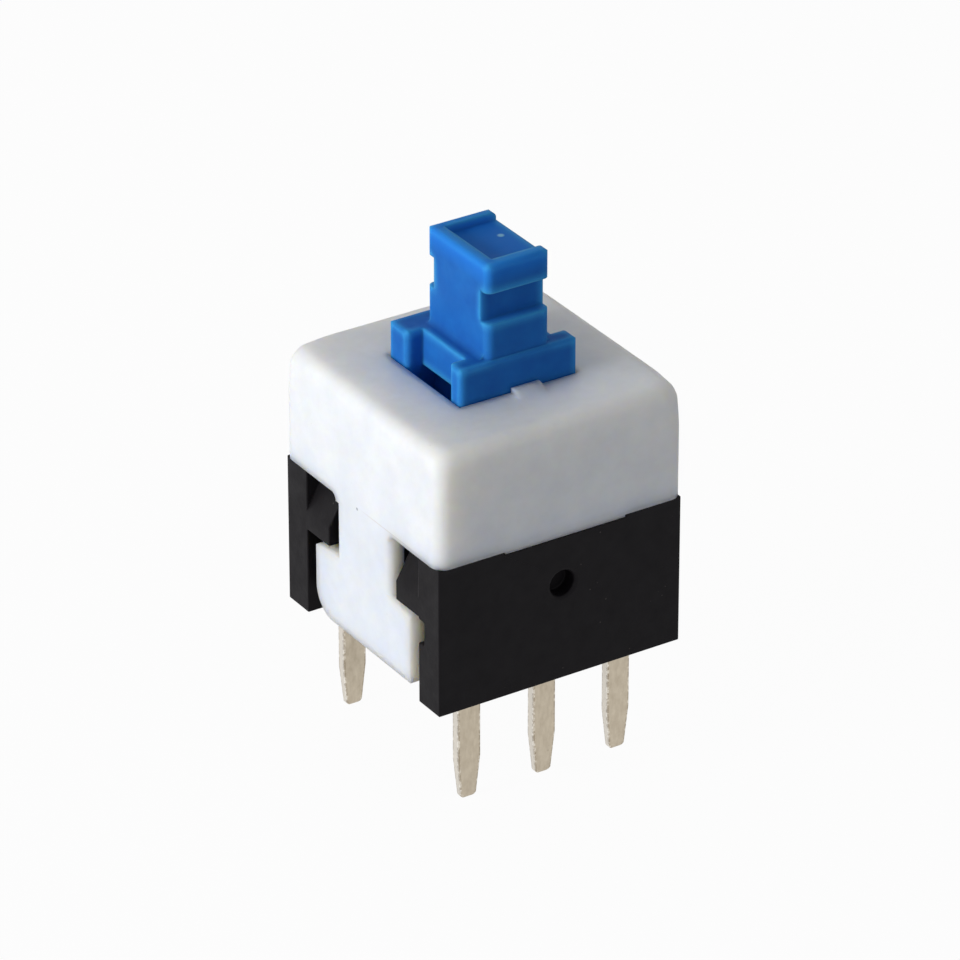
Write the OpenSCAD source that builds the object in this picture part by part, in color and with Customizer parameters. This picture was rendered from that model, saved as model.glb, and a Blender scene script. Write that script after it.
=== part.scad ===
// Momentary push switch, two poles, six flat pins, for a printed circuit board.
// Millimetres. +Z points up out of the board. The origin is the centre of the pin
// pattern on the board's surface, which the feet of the two base walls stand on.
// Front is -Y and left is -X. The back half of the contact system is the front
// half turned by 180 degrees about Z.

/* [Body] */
// Width of the base along X
body_w = 8.0; // [7.6:0.1:9.5]
// Depth of the base along Y
body_d = 8.0; // [7.6:0.1:9.5]
// Height of the cover's top above the board
body_h = 8.17; // [8.0:0.01:9.5]

/* [Base] */
// Thickness of the front and back walls
wall_t = 1.05; // [0.95:0.05:1.15]
// Height of the front and back walls
wall_h = 4.62; // [4.5:0.02:4.9]
// Length of the shallow relief in the top edge of each wall
relief_w = 4.05; // [3:0.05:5]
// Place of that relief's middle along X in the front wall
relief_x = 0.15; // [-0.3:0.05:0.3]
// Depth of that relief
relief_d = 0.12; // [0.08:0.01:0.25]
// Gap between the board and the underside of the floor
floor_gap = 0.55; // [0.3:0.05:0.6]
// Thickness of the floor
floor_t = 0.75; // [0.6:0.05:0.85]
// Diameter of the blind core hole in each wall
core_hole_d = 0.8; // [0.5:0.05:1.0]
// Place of the core hole's centre along X in the front wall
core_hole_x = 0.08; // [-0.3:0.02:0.3]
// Depth of the core hole
core_hole_depth = 0.5; // [0.2:0.05:0.55]
// Height of the core hole's centre above the board
core_hole_z = 3.0; // [2.4:0.1:3.4]
// Width of the chamfer round the core hole's mouth
core_hole_chamfer = 0.07; // [0.02:0.01:0.1]
// Diameter of the boss that centres the return spring
boss_d = 1.5; // [1.2:0.1:1.6]
// Height of that boss above the floor
boss_h = 1.0; // [0.5:0.1:1.2]

/* [Snap lugs] */
// Height of the lugs' underside above the board
lug_z = 2.7; // [2.65:0.05:2.9]
// Height of a lug's flat outer face
lug_flat_h = 0.6; // [0.3:0.1:0.8]
// How far a lug reaches in from its wall along Y
lug_reach = 1.18; // [0.9:0.01:1.2]
// How far the lead-in ramp falls back at the top of the wall
lug_ramp = 0.74; // [0.4:0.01:0.74]
// Thickness of a lug along X
lug_t = 0.8; // [0.75:0.05:0.9]

/* [Cover] */
// How far the cover's cap stands out past the base all round
cover_over = 0.05; // [0:0.01:0.1]
// Thickness of the cover's top
top_t = 1.0; // [0.8:0.05:1.2]
// Radius of the cover's vertical edges
cover_edge_r = 0.4; // [0.2:0.05:0.6]
// Radius round the cover's top
cover_top_r = 0.4; // [0.2:0.05:0.6]
// Thickness of the side tongues
tongue_t = 0.5; // [0.45:0.05:0.55]
// Place of the left tongue's middle along Y
tongue_y = -0.1; // [-0.15:0.01:0.1]
// Width of the tongues' necks
neck_w = 2.8; // [2.4:0.1:3.1]
// Width of the tongues' feet
foot_w = 5.0; // [4.6:0.1:5.4]
// Height of the feet's lower edge above the board
foot_z = 0.42; // [0.2:0.02:0.6]
// Height by which the feet's shoulders fall away from the neck
shoulder_fall = 0.14; // [0.05:0.01:0.2]
// Radius of each foot's rounded lower corner
foot_corner_r = 0.85; // [0.4:0.05:1.1]
// Radius of the necks' upright outer edges
neck_edge_r = 0.22; // [0.1:0.01:0.3]
// Radius where each neck runs into the cap
neck_root_r = 0.22; // [0.1:0.01:0.3]
// Width of the low nib on the top, in front of the plunger's opening
nib_w = 0.9; // [0.6:0.05:1.2]
// Height of the nib
nib_h = 0.15; // [0.08:0.01:0.25]
// Thickness of the nib along Y, at its foot
nib_t = 0.5; // [0.3:0.05:0.6]
// Thickness of the nib along Y, at its crest
nib_crest = 0.12; // [0.05:0.01:0.2]
// Place of the nib's middle along X
nib_x = 0.15; // [-0.3:0.05:0.3]

/* [Plunger] */
// Travel from rest to the stop
travel = 2.0; // [1.2:0.1:2.1]
// Width of the collar along X
collar_w = 3.84; // [3.6:0.02:4.2]
// Depth of the collar along Y
collar_d = 3.68; // [3.5:0.02:4.0]
// Height of the collar above the cover
collar_rise = 1.08; // [0.8:0.02:1.2]
// Width of the slot in each end of the collar
slot_w = 2.2; // [1.8:0.1:2.5]
// Depth of that slot
slot_depth = 0.52; // [0.4:0.02:0.75]
// Height of the slot's floor face
slot_face_h = 1.12; // [0.9:0.02:1.4]
// Radius of the slot's mouth
slot_mouth_r = 0.14; // [0.05:0.01:0.2]
// How far the slot is undercut below its floor face
undercut = 0.4; // [0.2:0.05:0.5]
// Radius of the collar's upright edges
collar_edge_r = 0.12; // [0.05:0.01:0.3]
// Radius round the collar's top
collar_top_r = 0.1; // [0.05:0.01:0.14]
// Width of the stem along X
stem_w = 2.05; // [1.7:0.05:2.1]
// Depth of the stem along Y
stem_d = 3.1; // [2.9:0.02:3.2]
// Height of the stem above the collar
stem_rise = 2.9; // [2.8:0.01:4]
// Place of the stem's middle along X
stem_x = 0.06; // [-0.2:0.02:0.2]
// Place of the middle of the stem and of the collar's slots along Y
stem_y = -0.18; // [-0.18:0.01:0.1]
// Radius of the stem's upright edges
stem_edge_r = 0.2; // [0.05:0.01:0.3]
// Radius round the stem's top
stem_top_r = 0.16; // [0.05:0.01:0.2]
// Radius of the fillets at the stem's foot, on its left and right faces
stem_foot_r = 0.18; // [0.05:0.01:0.25]
// Height of the cap groove's lower edge above the collar
groove_rise = 1.08; // [0.6:0.02:1.3]
// Height of the cap groove
groove_h = 0.95; // [0.6:0.05:1.2]
// Depth of the cap groove in the front and back faces
groove_depth = 0.36; // [0.2:0.02:0.5]
// Depth of the dish in the stem's top
dish_depth = 0.24; // [0.1:0.01:0.3]
// Thickness of the ridges round the dish
dish_ridge = 0.36; // [0.2:0.02:0.5]
// Depth of the spring bore in the slider
spring_bore_depth = 2.8; // [2.4:0.1:2.9]
// Diameter of the spring bore
spring_bore_d = 2.9; // [2.7:0.1:3.2]

/* [Terminals] */
// Distance between neighbouring pins of a row
pin_pitch = 2.5; // [2.4:0.01:2.6]
// Thickness of the terminals' sheet metal
term_t = 0.3; // [0.25:0.01:0.35]
// Width of a pin
pin_w = 0.75; // [0.55:0.05:0.8]
// Length of a pin below the board's surface
pin_l = 3.5; // [2.5:0.1:4.5]
// Length of a pin's tapered end
taper_l = 1.3; // [1:0.1:2.2]
// Width of a pin's tip
tip_w = 0.52; // [0.3:0.02:0.54]
// Thickness of a pin's tip
tip_t = 0.21; // [0.12:0.01:0.24]
// Width of the chamfers at a pin's tip
tip_chamfer = 0.1; // [0.02:0.01:0.12]
// Width of a terminal's upright blade
riser_w = 0.9; // [0.85:0.05:1.0]
// Height of the contact blades' upper edge above the board
blade_top_z = 4.3; // [4.2:0.05:4.35]
// Height of the arm of the normally closed terminal
closed_arm_h = 1.1; // [0.9:0.1:1.3]
// Height of the arm of the normally open terminal
open_arm_h = 1.3; // [1.0:0.1:1.4]
// Gap between that arm and the floor
open_arm_gap = 0.2; // [0.1:0.05:0.3]
// Distance from the middle of the row to the tip of each arm
arm_tip_x = 1.1; // [1.0:0.05:1.15]
// Height of the anchor wing's lower edge above the board
wing_z = 1.9; // [1.7:0.05:2.0]
// Height of the anchor wing
wing_h = 0.72; // [0.5:0.02:0.75]
// How far the wing ends inside the wall's open end
wing_inset = 0.3; // [0.1:0.05:0.4]

/* [Moving contacts] */
// Thickness of the contact springs' sheet metal
leaf_t = 0.14; // [0.1:0.01:0.16]
// Distance between the fingers of a contact
finger_pitch = 1.5; // [1.4:0.05:1.6]
// Width of a finger
finger_w = 0.6; // [0.4:0.05:0.7]
// Height of a contact's strap
strap_h = 1.5; // [1.3:0.1:1.7]
// How far the strap runs past the outer fingers
strap_margin = 0.3; // [0.2:0.05:0.4]
// Height from the fingers' wiping point up to the strap
finger_rise = 1.0; // [0.8:0.05:1.1]
// Height of the straight part of a finger below the strap
finger_root_h = 0.15; // [0.1:0.01:0.25]
// Height of the flat knee that wipes the blades
knee_h = 0.24; // [0.16:0.02:0.3]
// Height of the tail that curls back in below the knee
tail_h = 0.3; // [0.2:0.02:0.36]
// Room between the slider and the terminals for a contact
contact_room = 0.6; // [0.5:0.02:0.7]
// Diameter of the staking pegs
peg_d = 0.5; // [0.3:0.05:0.6]
// Distance of the pegs from the strap's ends
peg_inset = 0.75; // [0.5:0.05:0.9]
// How far the pegs stand proud of the strap
peg_proud = 0.12; // [0.05:0.01:0.15]

/* [Return spring] */
// Wire diameter
wire_d = 0.25; // [0.2:0.01:0.3]
// Mean diameter of the coil
coil_d = 2.2; // [2.0:0.05:2.3]
// Number of turns
turns = 7; // [5:1:8]

/* [Clearances] */
// Running gap round the collar
slide_gap = 0.05; // [0.03:0.01:0.1]
// Gap between the slider and the snap lugs
guide_gap = 0.3; // [0.1:0.05:0.4]
// Gap round a terminal in its slot
slot_gap = 0.02; // [0.01:0.01:0.05]
// Gap between a finger and the blade it wipes
wipe_gap = 0.04; // [0.02:0.01:0.06]
// Gap at each end of the plunger's travel
stop_gap = 0.03; // [0.02:0.01:0.1]
// Gap between the slider and the floor when the plunger is fully in
bottom_gap = 0.2; // [0.1:0.05:0.3]
// Gap between the cover's parts and the base they clip over
clip_gap = 0.05; // [0.03:0.01:0.08]

/* [Hidden] */
$fn = 48;
eps = 0.01; // overlap where two shapes of one piece join
over = 1; // how far a cutting shape runs past the surface it cuts

// Body
half_w = body_w / 2;
half_d = body_d / 2;
wall_in = half_d - wall_t; // inner face of a wall
floor_top = floor_gap + floor_t;
lug_in_x = half_w - lug_t; // inner face of a lug
lug_in_y = wall_in - lug_reach; // face of a lug beside the neck

// Cover
cap_w = body_w + 2 * cover_over;
cap_d = body_d + 2 * cover_over;
ceiling_z = body_h - top_t;
skirt_t = wall_t; // the front and back skirts stand on the walls
tongue_out = cap_w / 2; // outer face of a tongue, flush with the cap's
tongue_in = tongue_out - tongue_t; // inner face of a tongue
foot_top = lug_z - clip_gap;
floor_half_w = tongue_in - clip_gap;

// Terminals: the blades stand in slots of the walls, a little proud of them
blade_proud = slide_gap;
blade_in = wall_in - blade_proud;
blade_out = blade_in + term_t;
closed_arm_z = blade_top_z - closed_arm_h;
open_arm_z = floor_top + open_arm_gap;

// Plunger
slider_top = ceiling_z - stop_gap;
slider_z = floor_top + travel + bottom_gap;
slider_w = 2 * (lug_in_x - guide_gap);
slider_d = 2 * (blade_in - contact_room);
collar_top = body_h + collar_rise;
stem_top = collar_top + stem_rise;
slot_z = collar_top - slot_face_h; // lower edge of the slot's floor face
pocket_depth = slot_depth + undercut;
bore_ceiling = slider_z + spring_bore_depth;

// Moving contacts
wipe_z = (closed_arm_z + blade_top_z) / 2; // where the fingers touch at rest
strap_z = wipe_z + finger_rise;
finger_out = blade_in - wipe_gap; // outermost point of a finger
strap_w = 2 * (finger_pitch + finger_w / 2 + strap_margin);
peg_x = strap_w / 2 - peg_inset;
peg_len = leaf_t + peg_proud;

// Spring
wire_facets = 8;
steps_per_turn = 16;

// ---- Shapes used more than once ----

// A rectangle with its middle at the origin and all four corners rounded
module rounded_rect(w, d, r) {
    square([w - 2 * r, d], center = true);
    square([w, d - 2 * r], center = true);
    for (x = [-1, 1], y = [-1, 1])
        translate([x * (w / 2 - r), y * (d / 2 - r)]) circle(r);
}

// A rectangle standing on the X axis with its two upper corners rounded
module arch_rect(w, h, r) {
    translate([-w / 2, 0]) square([w, h - r]);
    translate([r - w / 2, 0]) square([w - 2 * r, h]);
    for (x = [-1, 1]) translate([x * (w / 2 - r), h - r]) circle(r);
}

// The waste outside a rounded corner at the origin, whose body lies towards +X +Y
module corner_waste(r) {
    difference() {
        translate([-over, -over]) square([r + over, r + over]);
        translate([r, r]) circle(r);
        translate([r, r - over]) square([over, over]);
        translate([r - over, r]) square([over, over]);
    }
}

// Extrudes a drawing in the Y-Z plane along X, from x0 to x1
module along_x(x0, x1) {
    translate([x0, 0, 0]) rotate([90, 0, 90]) linear_extrude(x1 - x0) children();
}

// Extrudes a drawing in the X-Z plane along Y, from y0 to y1
module along_y(y0, y1) {
    translate([0, y1, 0]) rotate([90, 0, 0]) linear_extrude(y1 - y0) children();
}

// A box from its lowest to its highest corner
module box(lo, hi) {
    translate(lo) cube(hi - lo);
}

// Block with rounded upright edges and a rounded top, standing on the plane z = 0
module soft_block(w, d, h, edge_r, top_r) {
    intersection() {
        linear_extrude(h) rounded_rect(w, d, edge_r);
        along_x(-w / 2, w / 2) arch_rect(d, h, top_r);
        along_y(-d / 2, d / 2) arch_rect(w, h, top_r);
    }
}

// Draws its children as they are and again turned by half a turn about Z
module both_sides() {
    for (a = [0, 180]) rotate([0, 0, a]) children();
}

// ---- Base ----

module wall() {
    difference() {
        box([-half_w, -half_d, 0], [half_w, -wall_in, wall_h]);
        box(
            [relief_x - relief_w / 2, -half_d - over, wall_h - relief_d],
            [relief_x + relief_w / 2, -wall_in + over, wall_h + over]
        );
        core_hole();
        terminal_slots();
    }
}

// Blind hole in the wall's outer face, with a chamfered mouth
module core_hole() {
    translate([core_hole_x, -half_d, core_hole_z]) rotate([-90, 0, 0]) {
        translate([0, 0, -over]) cylinder(h = over + core_hole_depth, d = core_hole_d);
        translate([0, 0, -eps])
            cylinder(
                h = core_hole_chamfer + eps,
                d1 = core_hole_d + 2 * (core_hole_chamfer + eps),
                d2 = core_hole_d
            );
    }
}

// Slots for the three terminals of a row: blade above, pin below
module terminal_slots() {
    along_y(-blade_out - slot_gap, -wall_in + over) {
        for (kind = ["closed", "common", "open"]) blade_outline(kind, slot_gap);
        // the wing's slot is open at the end of the wall
        translate([-half_w - over, wing_z]) square([over + half_w - pin_pitch, wing_h + slot_gap]);
    }
    for (x = [-pin_pitch, 0, pin_pitch]) pin_slot(x);
}

module pin_slot(x) {
    half = pin_w / 2 + slot_gap;
    box([x - half, -blade_out - slot_gap, -over], [x + half, -blade_in + slot_gap, floor_top]);
}

// Lug at the left end of the front wall: flat catch below, lead-in ramp above
module lug() {
    along_y(-wall_in - eps, -lug_in_y)
        polygon([
            [-half_w, lug_z],
            [-half_w, lug_z + lug_flat_h],
            [-half_w + lug_ramp, wall_h],
            [-lug_in_x, wall_h],
            [-lug_in_x, lug_z]
        ]);
}

module floor_plate() {
    difference() {
        box([-floor_half_w, -wall_in - eps, floor_gap], [floor_half_w, wall_in + eps, floor_top]);
        both_sides() for (x = [-pin_pitch, 0, pin_pitch]) pin_slot(x);
    }
    translate([0, 0, floor_top - eps]) cylinder(h = boss_h + eps, d = boss_d);
}

module base() {
    color("#1c1a1c") {
        floor_plate();
        both_sides() wall();
        both_sides() {
            lug();
            mirror([1, 0, 0]) lug();
        }
    }
}

// ---- Cover ----

// Strip of the front skirt that fills the relief of the wall below it
module skirt_key() {
    half = relief_w / 2 - clip_gap;
    translate([relief_x, 0, 0])
        box([-half, -half_d, wall_h - relief_d + slot_gap], [half, -wall_in, wall_h + eps]);
}

// Low nib at the opening's front edge, sloping down to the front
module nib() {
    along_x(nib_x - nib_w / 2, nib_x + nib_w / 2)
        translate([-collar_d / 2 - slide_gap, body_h])
            polygon([[0, -eps], [0, nib_h], [-nib_crest, nib_h], [-nib_t, 0], [-nib_t, -eps]]);
}

// Side tongue on the left: neck between the lugs, foot caught below them
module tongue() {
    neck_len = wall_h - foot_top + shoulder_fall;
    translate([0, tongue_y, 0]) {
        // neck, with rounded upright outer edges
        translate([0, 0, foot_top - shoulder_fall]) linear_extrude(neck_len + eps)
            difference() {
                translate([-tongue_out, -neck_w / 2]) square([tongue_t, neck_w]);
                for (y = [-1, 1])
                    scale([1, -y]) translate([-tongue_out, -neck_w / 2]) corner_waste(neck_edge_r);
            }
        // foot, with falling shoulders and one rounded lower corner
        along_x(-tongue_out, -tongue_in) difference() {
            polygon([
                [-foot_w / 2, foot_z],
                [-foot_w / 2, foot_top - shoulder_fall],
                [-neck_w / 2, foot_top],
                [neck_w / 2, foot_top],
                [foot_w / 2, foot_top - shoulder_fall],
                [foot_w / 2, foot_z]
            ]);
            translate([foot_w / 2, foot_z]) scale([-1, 1]) corner_waste(foot_corner_r);
        }
        // fillets at the neck's root
        along_x(-tongue_out, -tongue_in)
            for (side = [-1, 1]) scale([side, 1])
                translate([neck_w / 2 - neck_edge_r, wall_h - neck_root_r]) difference() {
                    square([neck_root_r + neck_edge_r, neck_root_r + eps]);
                    translate([neck_root_r + neck_edge_r, 0]) circle(neck_root_r);
                }
    }
}

module cover() {
    color("#f2f4f5") {
        difference() {
            translate([0, 0, wall_h])
                soft_block(cap_w, cap_d, body_h - wall_h, cover_edge_r, cover_top_r);
            // inside
            box(
                [-lug_in_x, -half_d + skirt_t, wall_h - over],
                [lug_in_x, half_d - skirt_t, ceiling_z]
            );
            // opening for the plunger
            translate([0, 0, ceiling_z - over]) linear_extrude(top_t + 2 * over)
                square([collar_w + 2 * slide_gap, collar_d + 2 * slide_gap], center = true);
        }
        nib();
        both_sides() {
            skirt_key();
            tongue();
        }
    }
}

// ---- Plunger ----

module stem() {
    translate([stem_x, stem_y, collar_top]) {
        difference() {
            translate([0, 0, -eps]) soft_block(stem_w, stem_d, stem_rise + eps, stem_edge_r, stem_top_r);
            // groove across the front and the back face that a key cap snaps into
            both_sides()
                box(
                    [-stem_w, -stem_d, groove_rise],
                    [stem_w, groove_depth - stem_d / 2, groove_rise + groove_h]
                );
            // dish, open to the right
            box(
                [dish_ridge - stem_w / 2, dish_ridge - stem_d / 2, stem_rise - dish_depth],
                [stem_w, stem_d / 2 - dish_ridge, stem_rise + over]
            );
        }
        // fillets at the foot
        along_y(stem_edge_r - stem_d / 2, stem_d / 2 - stem_edge_r)
            for (side = [-1, 1]) scale([side, 1])
                translate([stem_w / 2 - eps, -eps]) difference() {
                    square(stem_foot_r + eps);
                    translate([stem_foot_r + eps, stem_foot_r + eps]) circle(stem_foot_r);
                }
    }
}

// Plan of the slot in the left end of the collar, with a rounded mouth
module slot_plan() {
    translate([-collar_w / 2, stem_y]) {
        translate([-over, -slot_w / 2]) square([over + slot_depth, slot_w]);
        for (side = [-1, 1]) scale([1, side]) translate([0, slot_w / 2]) corner_waste(slot_mouth_r);
    }
}

module collar() {
    difference() {
        translate([0, 0, slider_top - eps])
            soft_block(collar_w, collar_d, collar_top - slider_top + eps, collar_edge_r, collar_top_r);
        // slot in each end, undercut near the slider
        for (side = [-1, 1]) scale([side, 1, 1]) {
            translate([0, 0, slider_top]) linear_extrude(collar_top - slider_top + over) slot_plan();
            box(
                [-collar_w, stem_y - slot_w / 2, slider_top],
                [pocket_depth - collar_w / 2, stem_y + slot_w / 2, slot_z]
            );
        }
    }
}

module slider() {
    difference() {
        translate([0, 0, slider_z]) linear_extrude(slider_top - slider_z)
            square([slider_w, slider_d], center = true);
        translate([0, 0, slider_z - over]) cylinder(h = spring_bore_depth + over, d = spring_bore_d);
    }
    // post that centres the spring's upper end
    translate([0, 0, bore_ceiling - boss_h]) cylinder(h = boss_h + eps, d = boss_d);
    // pegs that the contacts are staked on
    both_sides() for (x = [-peg_x, peg_x])
        translate([x, -slider_d / 2 + eps, strap_z + strap_h / 2]) rotate([90, 0, 0])
            cylinder(h = peg_len + eps, d = peg_d);
}

module plunger() {
    color("#1f6fc0") {
        slider();
        collar();
        stem();
    }
}

// ---- Terminals ----

// Outline of a blade in the X-Z plane; grow widens it at its sides and top
module blade_outline(kind, grow = 0) {
    x = kind == "closed" ? -pin_pitch : kind == "open" ? pin_pitch : 0;
    top = kind == "open" ? open_arm_z + open_arm_h : blade_top_z;
    translate([x - riser_w / 2 - grow, floor_top]) square([riser_w + 2 * grow, top - floor_top + grow]);
    if (kind == "closed") {
        translate([x, closed_arm_z]) square([-arm_tip_x - x + grow, closed_arm_h + grow]);
        translate([wing_inset - half_w, wing_z]) square([half_w - wing_inset + x, wing_h + grow]);
    }
    if (kind == "open")
        translate([arm_tip_x - grow, open_arm_z]) square([x - arm_tip_x + grow, open_arm_h + grow]);
}

// Pin: straight at the top, then coined to a narrower, thinner tip
module pin(x) {
    mid_y = -(blade_in + blade_out) / 2;
    taper_z = taper_l - pin_l;
    intersection() {
        along_y(-blade_out, -blade_in) translate([x, 0])
            tapered_outline(pin_w, tip_w, taper_z);
        along_x(x - pin_w, x + pin_w) translate([mid_y, 0])
            tapered_outline(term_t, tip_t, taper_z);
    }
}

module tapered_outline(wide, narrow, taper_z) {
    chamfer = min(tip_chamfer, narrow / 4);
    polygon([
        [-wide / 2, floor_top + eps],
        [-wide / 2, taper_z],
        [-narrow / 2, chamfer - pin_l],
        [chamfer - narrow / 2, -pin_l],
        [narrow / 2 - chamfer, -pin_l],
        [narrow / 2, chamfer - pin_l],
        [wide / 2, taper_z],
        [wide / 2, floor_top + eps]
    ]);
}

module terminal(kind) {
    x = kind == "closed" ? -pin_pitch : kind == "open" ? pin_pitch : 0;
    color("#b8ad9a") {
        along_y(-blade_out, -blade_in) blade_outline(kind);
        pin(x);
    }
}

// ---- Moving contacts ----

// Side view of a finger: down and outwards from the strap, then curled back in
module finger_profile() {
    root = -slider_d / 2; // the strap's inner face
    knee = -finger_out + leaf_t;
    tail_z = wipe_z - knee_h / 2 - tail_h;
    polygon([
        [root, strap_z + eps],
        [root - leaf_t, strap_z + eps],
        [root - leaf_t, strap_z - finger_root_h],
        [knee - leaf_t, wipe_z + knee_h / 2],
        [knee - leaf_t, wipe_z - knee_h / 2],
        [root - leaf_t, tail_z],
        [root - leaf_t / 3, tail_z + leaf_t / 2],
        [knee, wipe_z - knee_h / 4],
        [knee, wipe_z + knee_h / 4],
        [root, strap_z - finger_root_h - leaf_t / 3]
    ]);
}

module front_contact() {
    color("#c9a25e") {
        difference() {
            box(
                [-strap_w / 2, -slider_d / 2 - leaf_t, strap_z],
                [strap_w / 2, -slider_d / 2, strap_z + strap_h]
            );
            for (x = [-peg_x, peg_x])
                translate([x, -slider_d / 2 + over, strap_z + strap_h / 2]) rotate([90, 0, 0])
                    cylinder(h = 2 * over, d = peg_d + 2 * slot_gap);
        }
        for (x = [-finger_pitch, 0, finger_pitch])
            along_x(x - finger_w / 2, x + finger_w / 2) finger_profile();
    }
}

// ---- Return spring ----

// Point j of ring i of the wire, which climbs evenly from the floor to the slider
function ring_point(i, j) =
    let (
        n = turns * steps_per_turn,
        a = 360 * i / steps_per_turn,
        b = 360 * j / wire_facets,
        low = floor_top + wire_d / 2 + slot_gap,
        high = bore_ceiling - wire_d / 2 - slot_gap,
        z = low + (high - low) * i / n,
        r = coil_d / 2 + wire_d / 2 * cos(b)
    )
    [r * cos(a), r * sin(a), z + wire_d / 2 * sin(b)];

module return_spring() {
    n = turns * steps_per_turn;
    points = [for (i = [0:n], j = [0:wire_facets - 1]) ring_point(i, j)];
    sides = [
        for (i = [0:n - 1], j = [0:wire_facets - 1])
            let (k = (j + 1) % wire_facets)
            [
                i * wire_facets + j, (i + 1) * wire_facets + j,
                (i + 1) * wire_facets + k, i * wire_facets + k
            ]
    ];
    first = [for (j = [0:wire_facets - 1]) j];
    last = [for (j = [wire_facets - 1:-1:0]) n * wire_facets + j];
    color("silver") polyhedron(points, concat(sides, [first, last]), convexity = 10);
}

// ---- The parts ----

base();
cover();
plunger();
return_spring();
front_contact();
rotate([0, 0, 180]) front_contact();  // back_contact
terminal("closed");  // front_left_terminal
terminal("common");  // front_middle_terminal
terminal("open");  // front_right_terminal
rotate([0, 0, 180]) terminal("open");  // back_left_terminal
rotate([0, 0, 180]) terminal("common");  // back_middle_terminal
rotate([0, 0, 180]) terminal("closed");  // back_right_terminal
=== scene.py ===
"""Looks of a momentary push switch: finishes, soft edges, the cover's round corners, a wound return
spring, light and camera.

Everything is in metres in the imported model's frame: +Z up out of the board, front -Y, left -X.
"""

import math

import bmesh
import bpy
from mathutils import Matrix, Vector


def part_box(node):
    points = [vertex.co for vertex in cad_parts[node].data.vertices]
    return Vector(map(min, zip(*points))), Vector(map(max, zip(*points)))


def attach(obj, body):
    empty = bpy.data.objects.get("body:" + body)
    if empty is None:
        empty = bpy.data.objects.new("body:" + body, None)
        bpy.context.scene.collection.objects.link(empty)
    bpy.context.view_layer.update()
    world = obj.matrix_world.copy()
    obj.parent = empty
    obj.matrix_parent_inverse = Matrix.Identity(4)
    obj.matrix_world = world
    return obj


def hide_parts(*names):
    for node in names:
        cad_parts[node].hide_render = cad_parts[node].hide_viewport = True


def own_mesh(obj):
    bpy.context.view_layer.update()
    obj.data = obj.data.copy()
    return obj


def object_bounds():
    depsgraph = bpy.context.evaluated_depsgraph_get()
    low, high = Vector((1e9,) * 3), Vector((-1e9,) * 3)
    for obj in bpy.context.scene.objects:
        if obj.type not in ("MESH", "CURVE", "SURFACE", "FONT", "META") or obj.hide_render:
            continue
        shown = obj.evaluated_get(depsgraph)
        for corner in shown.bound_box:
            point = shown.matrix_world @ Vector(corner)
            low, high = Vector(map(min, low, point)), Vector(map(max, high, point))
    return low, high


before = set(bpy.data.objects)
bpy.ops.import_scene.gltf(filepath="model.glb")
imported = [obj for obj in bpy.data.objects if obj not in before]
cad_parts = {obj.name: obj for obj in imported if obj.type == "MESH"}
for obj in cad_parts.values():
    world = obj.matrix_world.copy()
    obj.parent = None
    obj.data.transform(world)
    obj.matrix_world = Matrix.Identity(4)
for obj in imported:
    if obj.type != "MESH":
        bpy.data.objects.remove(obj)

cad_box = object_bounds()

MM = 0.001

# ---- Camera: the photograph's viewing angle ----
PHOTO_SIDE = 960  # pixels along each side of the frame
FOCAL_PX = 6422.0  # focal length in pixels
TARGET_PX = (482.9, 463.4)  # where the target appears in the frame
TARGET = Vector((0, 0, 5 * MM))
CAMERA_AZIMUTH = math.radians(-32.67)
CAMERA_ELEVATION = math.radians(28.48)
CAMERA_DISTANCE = 180.0 * MM
SENSOR = 36.0  # sensor width in Blender's millimetres

# ---- Finishes and painted light, as sRGB colours from 0 to 255 ----
BLACK = (15, 13, 16)
BLACK_CLOUD = (23, 21, 24)
# painted highlight along the base's edges
BLACK_EDGE_HIGHLIGHT = (46, 43, 46)
BLACK_DUST = (84, 80, 78)
WHITE = (238, 240, 242)
WHITE_SHADE = (230, 233, 237)
WHITE_STAIN = (224, 220, 216)
# painted glow where the cover is thin or near an edge
WHITE_PAINTED_GLOW = (240, 232, 214)
WHITE_LINE = (196, 178, 160)
WHITE_DOT = (120, 122, 126)
WHITE_DUST = (170, 166, 160)
BLUE = (34, 106, 186)
BLUE_DEEP = (30, 84, 166)
# painted glow and highlight along the stem's edges
BLUE_PAINTED_EDGE_GLOW = (66, 164, 226)
# painted light: the stem's top is lighter
BLUE_PAINTED_TOP_LIGHT = (34, 118, 216)
# painted glint in the stem's dish
BLUE_PAINTED_GLINT = (150, 212, 238)
TIN = (198, 187, 168)
TIN_DULL = (178, 166, 147)
TIN_STAIN = (104, 88, 68)
# painted light on the pins' faces that look along X
TIN_SIDE_PAINTED_LIGHT = (214, 208, 198)
TIN_BRIGHT = (250, 247, 240)
BRONZE = (196, 150, 92)
STEEL = (176, 178, 182)
FLOOR = (216, 216, 219)

# ---- Places that the finishes use; those of the marks come from the photograph ----
COVER_LEFT = -4.05 * MM  # the cover's left face
COVER_DOT = (COVER_LEFT, 0.16 * MM, 4.67 * MM)  # small mark on that face
FLOW_LINE = (COVER_LEFT, -1.45 * MM, 4.72 * MM)  # middle of the faint line beside that mark
STEM_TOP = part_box("plunger")[1].z
STEM_DISH = 0.24 * MM  # depth of the dish in the stem's top
STEM_GLINT = (0.66 * MM, 0.12 * MM, STEM_TOP - STEM_DISH)  # place of a painted glint in that dish

# ---- Edge softening ----
WELD = 0.002 * MM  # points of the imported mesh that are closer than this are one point
FLAT_ANGLE = math.radians(1.5)  # faces that turn by less than this are one flat face
EDGE_ANGLE = math.radians(38)  # edges that turn by more than this are rounded
EDGE_SEGMENTS = 3
EDGE_RADII = {
    "base": 0.05 * MM,
    "cover": 0.07 * MM,
    "plunger": 0.09 * MM,
    "terminal": 0.045 * MM,
    "contact": 0.015 * MM,
}


def linear(colour):
    """Linear RGBA of an sRGB colour given from 0 to 255."""
    out = []
    for c in colour:
        c = c / 255
        out.append(c / 12.92 if c <= 0.04045 else ((c + 0.055) / 1.055) ** 2.4)
    return (*out, 1.0)


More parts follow.
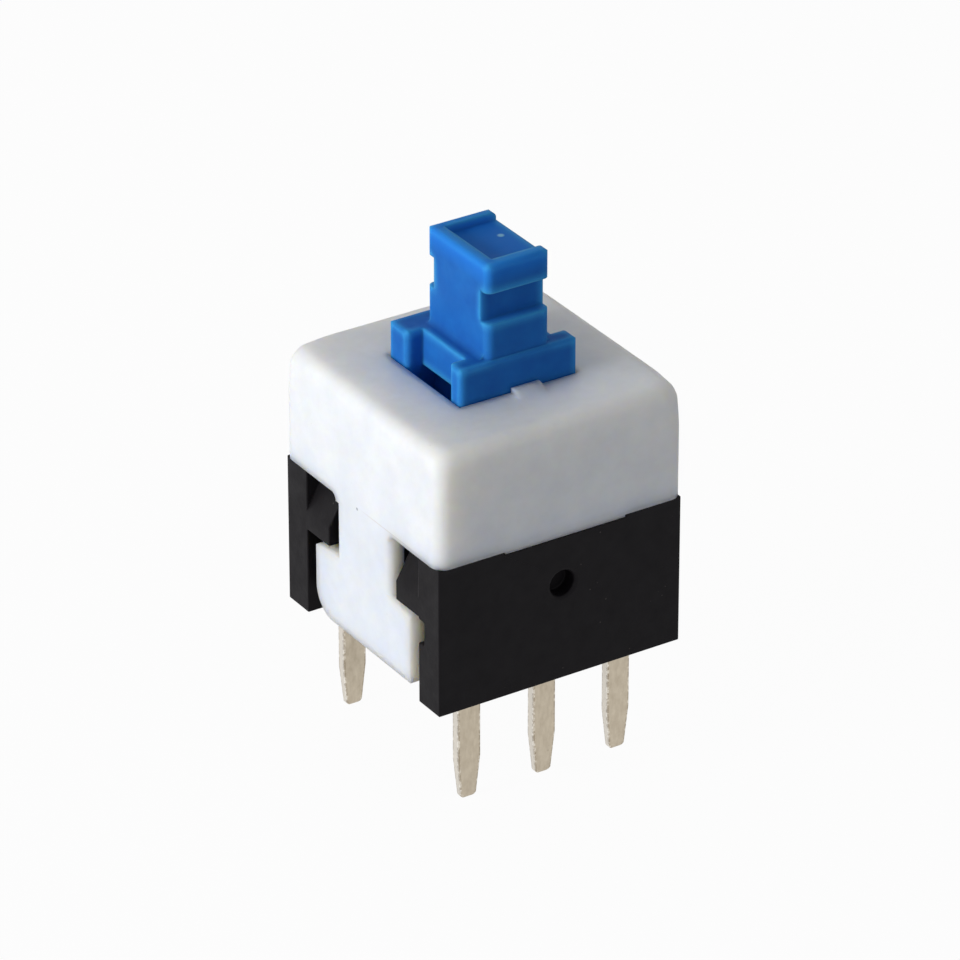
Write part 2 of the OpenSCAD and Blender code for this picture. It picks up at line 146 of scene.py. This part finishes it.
class Finish:
    """A node material with one Principled shader, and short calls for the nodes that vary it."""

    def __init__(self, name):
        self.material = bpy.data.materials.new(name)
        self.material.use_nodes = True
        tree = self.material.node_tree
        self.nodes, self.links = tree.nodes, tree.links
        self.shader = self.nodes["Principled BSDF"]
        self.place = self.nodes.new("ShaderNodeTexCoord").outputs["Object"]

    def new(self, kind, **settings):
        """A new node of that kind, with its settings."""
        node = self.nodes.new(kind)
        for key, value in settings.items():
            setattr(node, key, value)
        return node

    def feed(self, socket, value):
        """Links a socket's value to a socket, or sets it to a plain value."""
        if isinstance(value, bpy.types.NodeSocket):
            self.links.new(value, socket)
        else:
            socket.default_value = value

    def fixed(self, **values):
        """Sets the shader's own sockets; an underscore stands for a space."""
        for key, value in values.items():
            self.shader.inputs[key.replace("_", " ")].default_value = value

    def set(self, name, value):
        """Feeds one of the shader's sockets."""
        self.feed(self.shader.inputs[name], value)

    def noise(self, size, detail=3.0, roughness=0.55, stretch=None):
        """Noise whose features are about size across."""
        node = self.new("ShaderNodeTexNoise")
        node.inputs["Scale"].default_value = 1 / size
        node.inputs["Detail"].default_value = detail
        node.inputs["Roughness"].default_value = roughness
        place = self.place
        if stretch:
            mapping = self.new("ShaderNodeMapping")
            mapping.inputs["Scale"].default_value = stretch
            self.links.new(place, mapping.inputs["Vector"])
            place = mapping.outputs["Vector"]
        self.links.new(place, node.inputs["Vector"])
        return node.outputs["Fac"]

    def height(self):
        """Height above the board."""
        split = self.new("ShaderNodeSeparateXYZ")
        self.links.new(self.place, split.inputs["Vector"])
        return split.outputs["Z"]

    def specks(self, spacing, size):
        """1 in scattered round specks, else 0."""
        node = self.new("ShaderNodeTexVoronoi", feature="F1")
        node.inputs["Scale"].default_value = 1 / spacing
        self.links.new(self.place, node.inputs["Vector"])
        return self.span(node.outputs["Distance"], size / spacing, 0.5 * size / spacing)

    def span(self, value, low, high, out_low=0.0, out_high=1.0):
        """Maps low..high to out_low..out_high, clamped."""
        node = self.new("ShaderNodeMapRange")
        self.links.new(value, node.inputs["Value"])
        limits = {"From Min": low, "From Max": high, "To Min": out_low, "To Max": out_high}
        for key, number in limits.items():
            node.inputs[key].default_value = number
        return node.outputs["Result"]

    def math(self, operation, a, b=0.0):
        """The result of a math node."""
        node = self.new("ShaderNodeMath", operation=operation)
        self.feed(node.inputs[0], a)
        self.feed(node.inputs[1], b)
        return node.outputs[0]

    def mix(self, share, a, b):
        """Colour a where share is 0 and b where it is 1."""
        node = self.new("ShaderNodeMix", data_type="RGBA")
        self.feed(node.inputs[0], share)
        self.feed(node.inputs[6], a)
        self.feed(node.inputs[7], b)
        return node.outputs[2]

    def edges(self, radius, low=0.01, high=0.2):
        """1 along sharp convex or concave edges, fading over radius."""
        bevel = self.new("ShaderNodeBevel", samples=6)
        bevel.inputs["Radius"].default_value = radius
        geometry = self.new("ShaderNodeNewGeometry")
        dot = self.new("ShaderNodeVectorMath", operation="DOT_PRODUCT")
        self.links.new(bevel.outputs["Normal"], dot.inputs[0])
        self.links.new(geometry.outputs["Normal"], dot.inputs[1])
        return self.span(self.math("SUBTRACT", 1.0, dot.outputs["Value"]), low, high)

    def thin(self, reach, low=0.05, high=0.5):
        """1 where the solid is thin or near an outer edge, within that reach; used for painted glow and
        glints there, and for burrs.
        """
        node = self.new("ShaderNodeAmbientOcclusion", samples=8, inside=True, only_local=True)
        node.inputs["Distance"].default_value = reach
        return self.span(self.math("SUBTRACT", 1.0, node.outputs["AO"]), low, high)

    def spot(self, centre, radius, long=(1, 1, 1)):
        """1 within that radius of a point and 0 from twice the radius; long stretches it by axis."""
        offset = self.new("ShaderNodeVectorMath", operation="SUBTRACT")
        self.links.new(self.place, offset.inputs[0])
        offset.inputs[1].default_value = centre
        scaled = self.new("ShaderNodeVectorMath", operation="DIVIDE")
        self.links.new(offset.outputs["Vector"], scaled.inputs[0])
        scaled.inputs[1].default_value = long
        length = self.new("ShaderNodeVectorMath", operation="LENGTH")
        self.links.new(scaled.outputs["Vector"], length.inputs[0])
        return self.span(length.outputs["Value"], 2 * radius, radius)

    def side_faces(self):
        """1 on faces that look along X."""
        split = self.new("ShaderNodeSeparateXYZ")
        coordinates = self.new("ShaderNodeTexCoord")
        self.links.new(coordinates.outputs["Normal"], split.inputs["Vector"])
        return self.span(self.math("ABSOLUTE", split.outputs["X"]), 0.5, 0.9)

    def relief(self, height, depth, strength=1.0, under=None, edge_radius=None):
        """Bump of that depth; under is another bump's normal that it adds to."""
        node = self.new("ShaderNodeBump")
        node.inputs["Strength"].default_value = strength
        node.inputs["Distance"].default_value = depth
        self.links.new(height, node.inputs["Height"])
        if under is None and edge_radius:
            bevel = self.new("ShaderNodeBevel", samples=8)
            bevel.inputs["Radius"].default_value = edge_radius
            under = bevel.outputs["Normal"]
        if under is not None:
            self.links.new(under, node.inputs["Normal"])
        return node.outputs["Normal"]


GRAIN = 0.09 * MM  # size of the grain on moulded surfaces
SINK = 1.6 * MM  # size of the sink marks under it


def moulded(finish, edge_radius, grain_depth=0.004 * MM, sink_depth=0.012 * MM):
    """The relief of a moulded surface: slow sink marks under a fine spark-eroded grain."""
    sinks = finish.noise(SINK, detail=1.0)
    slow = finish.relief(sinks, sink_depth, 0.6, edge_radius=edge_radius)
    grain = finish.noise(GRAIN, detail=2.0)
    finish.set("Normal", finish.relief(grain, grain_depth, 0.8, under=slow))


def black_plastic():
    f = Finish("black_nylon")
    cloudy = f.span(f.noise(0.9 * MM, detail=4.0), 0.35, 0.7)
    colour = f.mix(f.math("MULTIPLY", cloudy, 0.5), linear(BLACK), linear(BLACK_CLOUD))
    # Painted highlight: lighter along the edges, broken up by noise.
    edge_highlight = f.math("MULTIPLY", f.edges(0.06 * MM), f.span(f.noise(0.35 * MM), 0.3, 0.65, 0.25, 0.9))
    colour = f.mix(edge_highlight, colour, linear(BLACK_EDGE_HIGHLIGHT))
    dust = f.math("MULTIPLY", f.specks(0.55 * MM, 0.03 * MM), 0.5)
    f.set("Base Color", f.mix(dust, colour, linear(BLACK_DUST)))
    f.set("Roughness", f.span(f.noise(0.5 * MM, detail=4.0), 0.3, 0.7, 0.48, 0.62))
    f.fixed(IOR=1.53, Specular_IOR_Level=0.09)
    moulded(f, 0.05 * MM)
    return f.material


def white_plastic():
    f = Finish("white_acetal")
    cloudy = f.span(f.noise(1.3 * MM, detail=3.0), 0.35, 0.65)
    colour = f.mix(cloudy, linear(WHITE), linear(WHITE_SHADE))
    fine = f.span(f.noise(0.3 * MM, detail=4.0), 0.45, 0.75)
    colour = f.mix(f.math("MULTIPLY", fine, 0.15), colour, linear(WHITE_STAIN))
    # Painted glow: warmer and lighter where the cover is thin or near an outer edge, as if light shone
    # through.
    colour = f.mix(f.math("MULTIPLY", f.thin(0.42 * MM), 0.7), colour, linear(WHITE_PAINTED_GLOW))
    line = f.math("MULTIPLY", f.spot(FLOW_LINE, 0.012 * MM, long=(1, 70, 1)), 0.35)
    colour = f.mix(line, colour, linear(WHITE_LINE))
    dot = f.math("MULTIPLY", f.spot(COVER_DOT, 0.03 * MM), 0.7)
    colour = f.mix(dot, colour, linear(WHITE_DOT))
    dust = f.math("MULTIPLY", f.specks(0.9 * MM, 0.022 * MM), 0.25)
    f.set("Base Color", f.mix(dust, colour, linear(WHITE_DUST)))
    f.set("Roughness", f.span(f.noise(0.6 * MM, detail=4.0), 0.3, 0.7, 0.44, 0.56))
    f.fixed(
        IOR=1.48, Specular_IOR_Level=0.35,
        Subsurface_Weight=0.9, Subsurface_Scale=1.5 * MM, Subsurface_Radius=(1.0, 0.8, 0.5),
    )
    moulded(f, 0.3 * MM, grain_depth=0.003 * MM, sink_depth=0.01 * MM)
    return f.material


def blue_plastic():
    f = Finish("blue_acetal")
    cloudy = f.span(f.noise(0.8 * MM, detail=4.0), 0.35, 0.7)
    colour = f.mix(f.math("MULTIPLY", cloudy, 0.5), linear(BLUE), linear(BLUE_DEEP))
    # Painted light: the stem turns lighter and bluer over its top 0.7 mm.
    painted_top_light = f.span(f.height(), STEM_TOP - 0.7 * MM, STEM_TOP - 0.1 * MM)
    colour = f.mix(painted_top_light, colour, linear(BLUE_PAINTED_TOP_LIGHT))
    # Painted glow and highlight: lighter cyan where the stem is thin or near an outer edge.
    colour = f.mix(f.math("MULTIPLY", f.thin(0.3 * MM), 0.75), colour, linear(BLUE_PAINTED_EDGE_GLOW))
    # Painted highlight: a small light spot on the dish floor.
    painted_glint = f.math("MULTIPLY", f.spot(STEM_GLINT, 0.06 * MM), 0.8)
    colour = f.mix(painted_glint, colour, linear(BLUE_PAINTED_GLINT))
    f.set("Base Color", colour)
    f.set("Roughness", f.span(f.noise(0.4 * MM, detail=4.0), 0.3, 0.7, 0.36, 0.5))
    f.fixed(
        IOR=1.48, Specular_IOR_Level=0.03,
        Subsurface_Weight=0.4, Subsurface_Scale=0.5 * MM, Subsurface_Radius=(0.4, 0.7, 1.0),
    )
    moulded(f, 0.16 * MM, grain_depth=0.003 * MM)
    return f.material


def tinned():
    f = Finish("tinned_brass")
    cloudy = f.span(f.noise(0.14 * MM, detail=5.0, roughness=0.65, stretch=(1, 1, 0.4)), 0.3, 0.75)
    colour = f.mix(cloudy, linear(TIN), linear(TIN_DULL))
    # Painted light: the sheared faces, which look along X, are lighter.
    colour = f.mix(f.side_faces(), colour, linear(TIN_SIDE_PAINTED_LIGHT))
    rim, broken = f.thin(0.1 * MM, 0.12, 0.3), f.noise(0.12 * MM, detail=4.0)
    glint = f.math("MULTIPLY", rim, f.span(broken, 0.48, 0.38))
    colour = f.mix(f.math("MULTIPLY", glint, 0.8), colour, linear(TIN_BRIGHT))
    burr = f.math("MULTIPLY", rim, f.span(broken, 0.44, 0.56))
    stain = f.span(f.noise(0.1 * MM, detail=5.0, roughness=0.7), 0.64, 0.72)
    dark = f.math("MAXIMUM", f.math("MULTIPLY", burr, 0.8), f.math("MULTIPLY", stain, 0.45))
    f.set("Base Color", f.mix(dark, colour, linear(TIN_STAIN)))
    f.set("Roughness", f.span(f.noise(0.25 * MM, detail=4.0), 0.3, 0.7, 0.32, 0.5))
    f.fixed(Metallic=1.0)
    drawn = f.noise(0.05 * MM, detail=2.0, stretch=(1, 1, 0.12))
    slow = f.relief(f.noise(0.3 * MM, detail=2.0), 0.004 * MM, 0.8, edge_radius=0.05 * MM)
    f.set("Normal", f.relief(drawn, 0.002 * MM, 0.7, under=slow))
    return f.material


def rolled_metal(name, colour, roughness, grain=(0.12, 1, 1)):
    f = Finish(name)
    cloudy = f.span(f.noise(0.3 * MM, detail=4.0), 0.35, 0.7)
    dull = tuple(0.72 * c for c in colour)
    f.set("Base Color", f.mix(f.math("MULTIPLY", cloudy, 0.6), linear(colour), linear(dull)))
    f.set("Roughness", f.span(f.noise(0.2 * MM), 0.3, 0.7, roughness - 0.06, roughness + 0.08))
    f.fixed(Metallic=1.0)
    drawn = f.noise(0.04 * MM, detail=2.0, stretch=grain)
    f.set("Normal", f.relief(drawn, 0.002 * MM, 0.6, edge_radius=0.02 * MM))
    return f.material


def soften(piece, radius):
    """Joins the flat triangles of a CAD node, then rounds its sharp edges."""
    weld = piece.modifiers.new("weld", "WELD")
    weld.merge_threshold = WELD
    flat = piece.modifiers.new("flat_faces", "DECIMATE")
    flat.decimate_type = "DISSOLVE"
    flat.angle_limit = FLAT_ANGLE
    bevel = piece.modifiers.new("soft_edges", "BEVEL")
    bevel.width = radius
    bevel.segments = EDGE_SEGMENTS
    bevel.limit_method = "ANGLE"
    bevel.angle_limit = EDGE_ANGLE
    bevel.use_clamp_overlap = True
    bevel.miter_outer = "MITER_ARC"
    normals = piece.modifiers.new("normals", "WEIGHTED_NORMAL")
    normals.weight = 80
    normals.keep_sharp = False
    for face in piece.data.polygons:
        face.use_smooth = True


def dress(name, material, radius):
    """Gives a CAD node its material and soft edges."""
    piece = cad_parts[name]
    piece.data.materials.clear()
    piece.data.materials.append(material)
    soften(piece, radius)


def dress_nodes():
    black, white, blue = black_plastic(), white_plastic(), blue_plastic()
    tin, bronze = tinned(), rolled_metal("phosphor_bronze", BRONZE, 0.28)
    dress("base", black, EDGE_RADII["base"])
    add_cover(white)
    dress("plunger", blue, EDGE_RADII["plunger"])
    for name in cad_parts:
        if name.endswith("_terminal"):
            dress(name, tin, EDGE_RADII["terminal"])
        elif name.endswith("_contact"):
            dress(name, bronze, EDGE_RADII["contact"])


# ---- Cover: the moulded corners are rounder than the solid's ----
COVER_TOP = 8.17 * MM
COVER_SKIN = 0.2 * MM  # depth that still counts as the outer surface
COVER_EDGE = 0.4 * MM  # radius along the middle of the edges
COVER_CORNER = 0.6 * MM  # radius at the four top corners
COVER_REACH = 1.5 * MM  # how far from a corner the radius has fallen back
COVER_CUTS = 16  # cuts on each side within that reach
COVER_CUT_GROWTH = 1.6  # above 1, the cuts lie closer together towards the edges


def rounded_corner(point, half):
    """A point of the cover, moved onto edges whose radius grows towards the top corners."""
    below_top = COVER_TOP - point.z
    gaps = sorted((half.x - abs(point.x), half.y - abs(point.y), below_top))
    if gaps[0] > COVER_SKIN or gaps[1] > COVER_CORNER or below_top > COVER_REACH:
        return point
    share = min(max(1 - gaps[2] / COVER_REACH, 0.0), 1.0)
    radius = COVER_EDGE + (COVER_CORNER - COVER_EDGE) * share * share * (3 - 2 * share)
    core = Vector((
        math.copysign(min(abs(point.x), half.x - radius), point.x),
        math.copysign(min(abs(point.y), half.y - radius), point.y),
        min(point.z, COVER_TOP - radius),
    ))
    return core + (point - core).normalized() * radius


def cut(shell, plane, normal):
    """Cuts the whole shell along a plane and gives what lies on the cut."""
    geometry = shell.verts[:] + shell.edges[:] + shell.faces[:]
    made = bmesh.ops.bisect_plane(
        shell, geom=geometry, dist=WELD / 10, plane_co=plane, plane_no=normal
    )
    return made["geom_cut"]


def add_cover(material):
    """A softened copy of the cover's solid, cut finely beside its corners and rounded there."""
    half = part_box("cover")[1]
    cover = bpy.data.objects.new("moulded_cover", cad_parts["cover"].data.copy())
    bpy.context.scene.collection.objects.link(cover)
    soften(cover, EDGE_RADII["cover"])
    softened = cover.evaluated_get(bpy.context.evaluated_depsgraph_get()).to_mesh()
    shell = bmesh.new()
    shell.from_mesh(softened)
    bmesh.ops.triangulate(shell, faces=shell.faces[:])
    for i in range(1, COVER_CUTS + 1):
        gap = COVER_REACH * (i / COVER_CUTS) ** COVER_CUT_GROWTH
        for plane, normal in (
            ((half.x - gap, 0, 0), (1, 0, 0)), ((gap - half.x, 0, 0), (1, 0, 0)),
            ((0, half.y - gap, 0), (0, 1, 0)), ((0, gap - half.y, 0), (0, 1, 0)),
            ((0, 0, COVER_TOP - gap), (0, 0, 1)),
        ):
            cut(shell, plane, normal)
    for normal in ((1, 0, 0), (0, 1, 0)):  # seams, so that no flat face closes round the opening
        for part in cut(shell, (0, 0, 0), normal):
            if isinstance(part, bmesh.types.BMEdge):
                part.seam = True
    for vertex in shell.verts:
        vertex.co = rounded_corner(vertex.co, half)
    bmesh.ops.triangulate(shell, faces=shell.faces[:])
    # The flat triangles are joined once more after the cuts, but nothing is rounded twice.
    for name in ("weld", "soft_edges"):
        cover.modifiers.remove(cover.modifiers[name])
    cover.modifiers["flat_faces"].delimit = {"SEAM"}
    shell.to_mesh(cover.data)
    shell.free()
    cover.data.materials.clear()
    cover.data.materials.append(material)
    for face in cover.data.polygons:
        face.use_smooth = True
    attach(cover, "housing")
    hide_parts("cover")


# ---- Return spring: wound wire with closed, ground ends ----
WIRE = 0.25 * MM
TURNS = 7
DEAD_TURNS = 1.0  # closed turns at each end
CLOSED_RISE = WIRE * 1.02  # climb of a closed turn
RING_POINTS = 16
STEPS_PER_TURN = 48


def spring_mesh(low, high, coil_radius):
    """A helix from low to high whose last turns at both ends close up against their neighbours."""
    wire_radius = WIRE / 2
    steps = TURNS * STEPS_PER_TURN
    dead = DEAD_TURNS * STEPS_PER_TURN
    closed = CLOSED_RISE / STEPS_PER_TURN
    openness = []  # 0 where a turn is closed, 1 where it is free
    for i in range(steps):
        share = min(1.0, min(i, steps - 1 - i) / dead)
        openness.append(share * share * (3 - 2 * share))
    free = (high - low - WIRE - closed * steps) / sum(openness)
    heights = [low + wire_radius]
    for share in openness:
        heights.append(heights[-1] + closed + share * free)
    vertices = []
    for i, z in enumerate(heights):
        turn = 2 * math.pi * i / STEPS_PER_TURN
        for j in range(RING_POINTS):
            around = 2 * math.pi * j / RING_POINTS
            r = coil_radius + wire_radius * math.cos(around)
            height = min(max(z + wire_radius * math.sin(around), low), high)
            vertices.append((r * math.cos(turn), r * math.sin(turn), height))
    faces = [list(range(RING_POINTS))]
    for i in range(steps):
        for j in range(RING_POINTS):
            k = (j + 1) % RING_POINTS
            a, b = i * RING_POINTS, (i + 1) * RING_POINTS
            faces.append([a + j, b + j, b + k, a + k][::-1])
    faces.append([steps * RING_POINTS + j for j in reversed(range(RING_POINTS))])
    mesh = bpy.data.meshes.new("wound_spring")
    mesh.from_pydata(vertices, [], faces)
    mesh.validate()
    for face in mesh.polygons:
        face.use_smooth = True
    return mesh


def add_spring():
    """Winds the spring in its solid's box and attaches it to the housing."""
    lo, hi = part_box("return_spring")
    coil_radius = (hi.x - lo.x - WIRE) / 2
    spring = bpy.data.objects.new("wound_spring", spring_mesh(lo.z, hi.z, coil_radius))
    bpy.context.scene.collection.objects.link(spring)
    spring.data.materials.append(rolled_metal("spring_steel", STEEL, 0.24, grain=(1, 1, 0.2)))
    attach(spring, "housing")
    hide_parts("return_spring")
    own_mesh(spring)


# ---- Floor, light and camera ----
FLOOR_SIDE = 1.6  # metres
FLOOR_GLOW = 0.96  # share of plain white that the camera sees in the floor
AMBIENT = 0.3  # strength of the world's even light
LAMPS = [
    # name, azimuth and elevation in degrees, distance and side in metres, power in watts
    ("key", -92, 14, 0.30, 0.12, 0.71),
    ("front", 10, 22, 0.32, 0.16, 0.04),
    ("back", 150, 50, 0.32, 0.18, 0.04),
]


def direction(azimuth, elevation):
    """Unit vector from the object towards that side: azimuth 0 is the front, -90 the left."""
    return Vector((
        math.sin(azimuth) * math.cos(elevation),
        -math.cos(azimuth) * math.cos(elevation),
        math.sin(elevation),
    ))


def white_to_camera(tree, plain, output, glow):
    """Lets camera, mirror and glass rays see white in that share, and all others the plain shader."""
    nodes, links = tree.nodes, tree.links
    path = nodes.new("ShaderNodeLightPath")
    seen = path.outputs["Is Camera Ray"]
    for ray in ("Is Glossy Ray", "Is Transmission Ray"):
        either = nodes.new("ShaderNodeMath")
        either.operation = "MAXIMUM"
        links.new(seen, either.inputs[0])
        links.new(path.outputs[ray], either.inputs[1])
        seen = either.outputs[0]
    share = nodes.new("ShaderNodeMath")
    share.operation = "MULTIPLY"
    share.inputs[1].default_value = glow
    links.new(seen, share.inputs[0])
    white = nodes.new("ShaderNodeEmission")
    white.inputs["Color"].default_value = (1, 1, 1, 1)
    mix = nodes.new("ShaderNodeMixShader")
    links.new(share.outputs[0], mix.inputs["Fac"])
    links.new(plain, mix.inputs[1])
    links.new(white.outputs[0], mix.inputs[2])
    links.new(mix.outputs[0], output)


def add_floor():
    half = FLOOR_SIDE / 2
    z = cad_box[0].z
    mesh = bpy.data.meshes.new("floor")
    corners = [(-half, -half, z), (half, -half, z), (half, half, z), (-half, half, z)]
    mesh.from_pydata(corners, [], [(0, 1, 2, 3)])
    floor = bpy.data.objects.new("floor", mesh)
    bpy.context.scene.collection.objects.link(floor)
    f = Finish("pale_floor")
    f.set("Base Color", linear(FLOOR))
    f.fixed(Roughness=0.9)
    output = f.nodes["Material Output"].inputs["Surface"]
    white_to_camera(f.material.node_tree, f.shader.outputs[0], output, FLOOR_GLOW)
    mesh.materials.append(f.material)


def add_world():
    world = bpy.data.worlds.new("studio")
    bpy.context.scene.world = world
    world.use_nodes = True
    tree = world.node_tree
    ambient = tree.nodes["Background"]
    ambient.inputs["Color"].default_value = (1, 1, 1, 1)
    ambient.inputs["Strength"].default_value = AMBIENT
    output = tree.nodes["World Output"].inputs["Surface"]
    white_to_camera(tree, ambient.outputs[0], output, 1.0)


def add_lamps():
    for name, azimuth, elevation, distance, side, power in LAMPS:
        lamp = bpy.data.lights.new(name, "AREA")
        lamp.size = side
        lamp.energy = power
        towards = direction(math.radians(azimuth), math.radians(elevation))
        holder = bpy.data.objects.new(name, lamp)
        holder.location = TARGET + towards * distance
        holder.rotation_mode = "QUATERNION"
        holder.rotation_quaternion = (-towards).to_track_quat("-Z", "Y")
        bpy.context.scene.collection.objects.link(holder)


def add_camera():
    data = bpy.data.cameras.new("camera")
    data.sensor_width = SENSOR
    data.lens = FOCAL_PX / PHOTO_SIDE * SENSOR
    data.shift_x = (PHOTO_SIDE / 2 - TARGET_PX[0]) / PHOTO_SIDE
    data.shift_y = (TARGET_PX[1] - PHOTO_SIDE / 2) / PHOTO_SIDE
    data.clip_start = 10 * MM
    camera = bpy.data.objects.new("camera", data)
    back = direction(CAMERA_AZIMUTH, CAMERA_ELEVATION)
    camera.location = TARGET + back * CAMERA_DISTANCE
    camera.rotation_mode = "QUATERNION"
    camera.rotation_quaternion = (-back).to_track_quat("-Z", "Y")
    bpy.context.scene.collection.objects.link(camera)
    bpy.context.scene.camera = camera


dress_nodes()
add_spring()
add_floor()
add_world()
add_lamps()
add_camera()
bpy.context.scene.view_settings.view_transform = "Standard"
